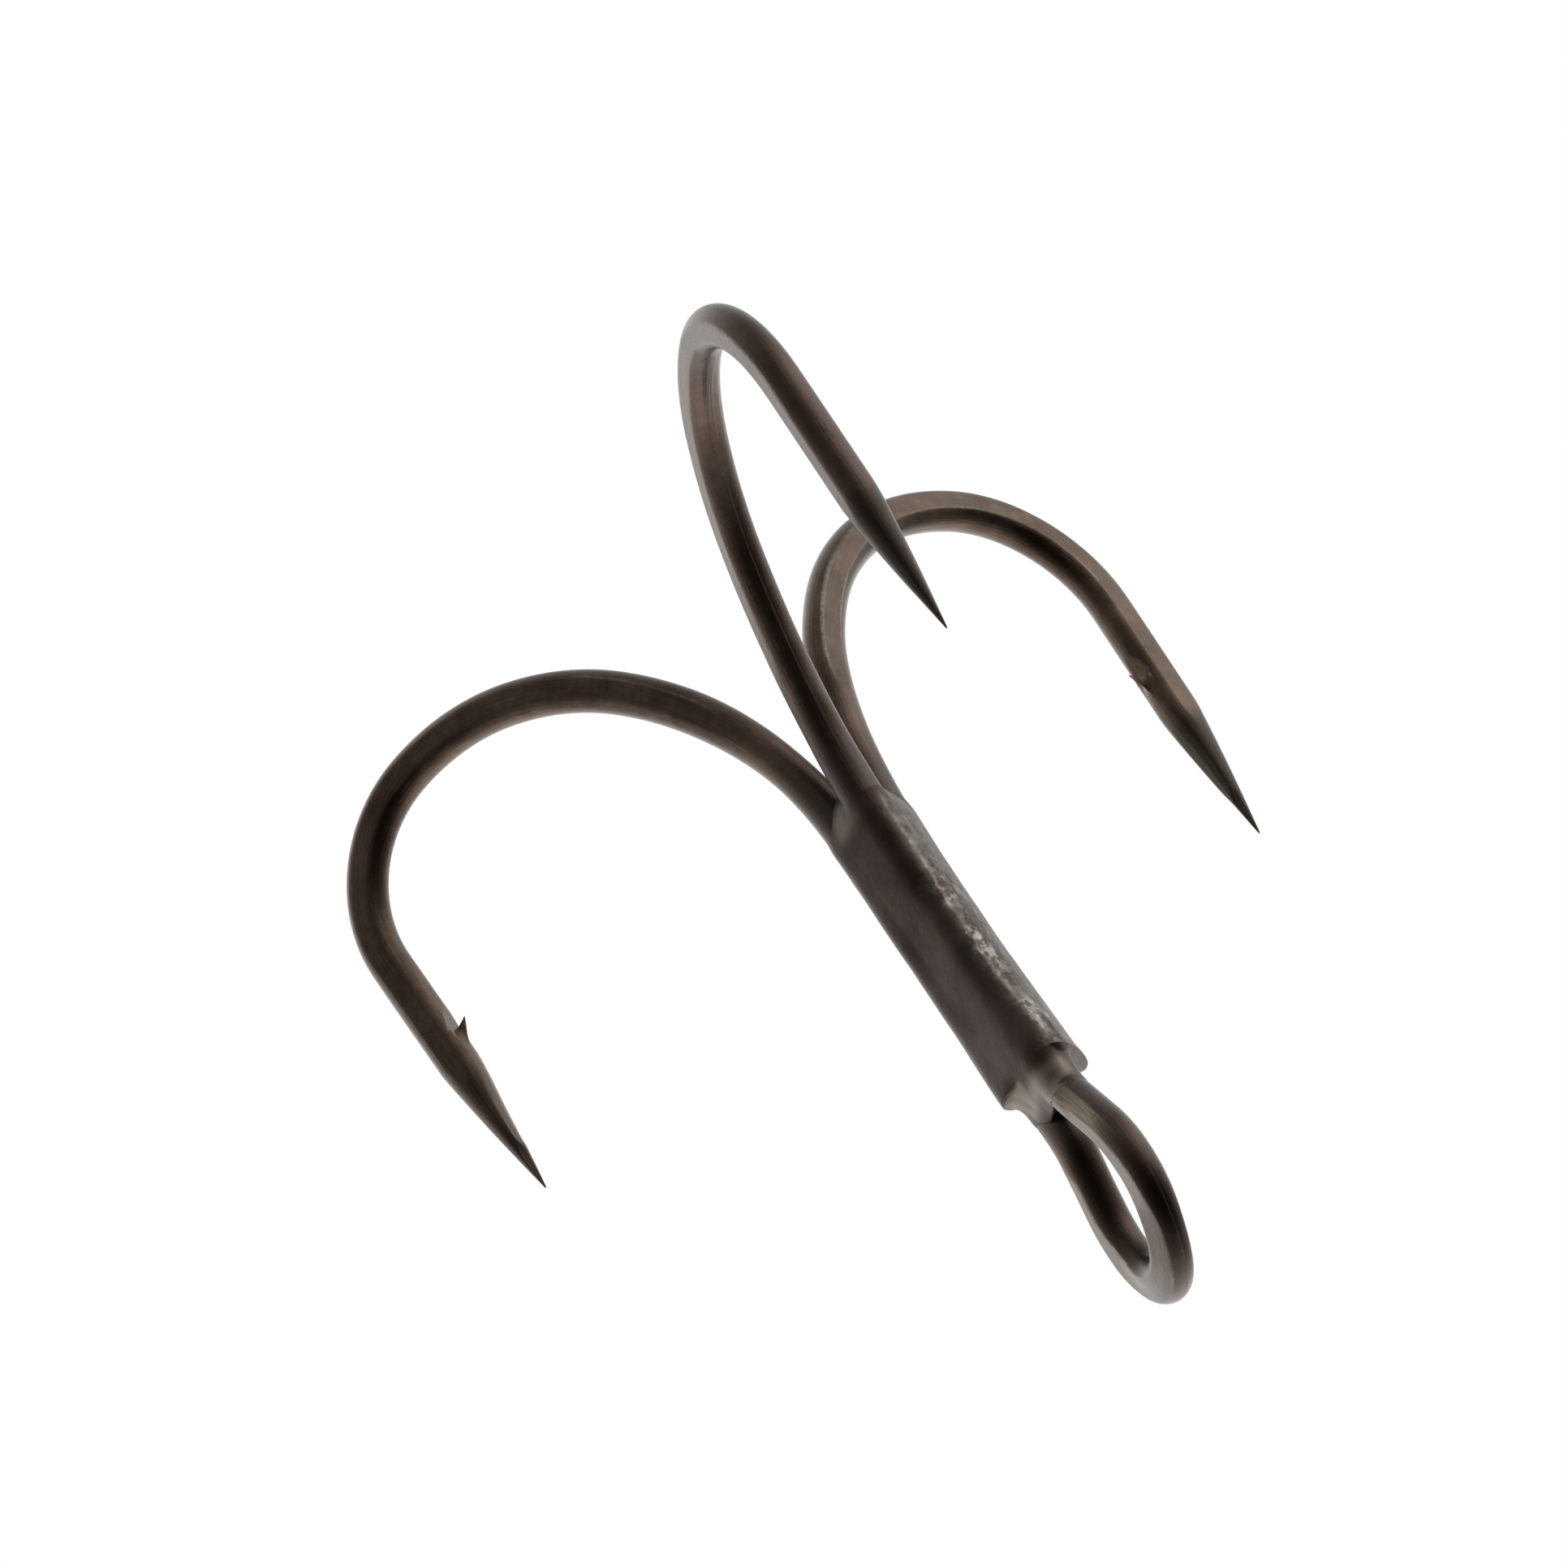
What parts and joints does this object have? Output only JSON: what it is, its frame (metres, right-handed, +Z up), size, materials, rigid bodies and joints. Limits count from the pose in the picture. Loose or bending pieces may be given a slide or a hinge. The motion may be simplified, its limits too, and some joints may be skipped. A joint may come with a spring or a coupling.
{
  "type": "treble hook",
  "caption": "Barbed fishing hook with points spread evenly around one brazed shank, and a forged oval eye at the top for a split ring or line.",
  "frame": {"origin": "the point inside the crown of the eye on which a split ring or a line bears", "axes": "+Z up along the shank toward the eye; X in the plane of the eye, with the eyed hook pointing within half a degree of +X; +Y out of one forged side of the eye"},
  "size_m": [0.0209, 0.0217, 0.0247],
  "materials": {
    "eyed_hook_plating": "black nickel plated carbon steel wire, semi-gloss",
    "plain_hook_a_plating": "black nickel plated carbon steel wire, semi-gloss",
    "plain_hook_b_plating": "black nickel plated carbon steel wire, semi-gloss",
    "braze_plating": "lumpy brazing alloy under the same black nickel plating, satin and speckled"
  },
  "bodies": {
    "root": {"eyed_hook": "eyed_hook_plating", "plain_hook_a": "plain_hook_a_plating", "plain_hook_b": "plain_hook_b_plating", "braze_joint": "braze_plating"}
  },
  "joints": []
}
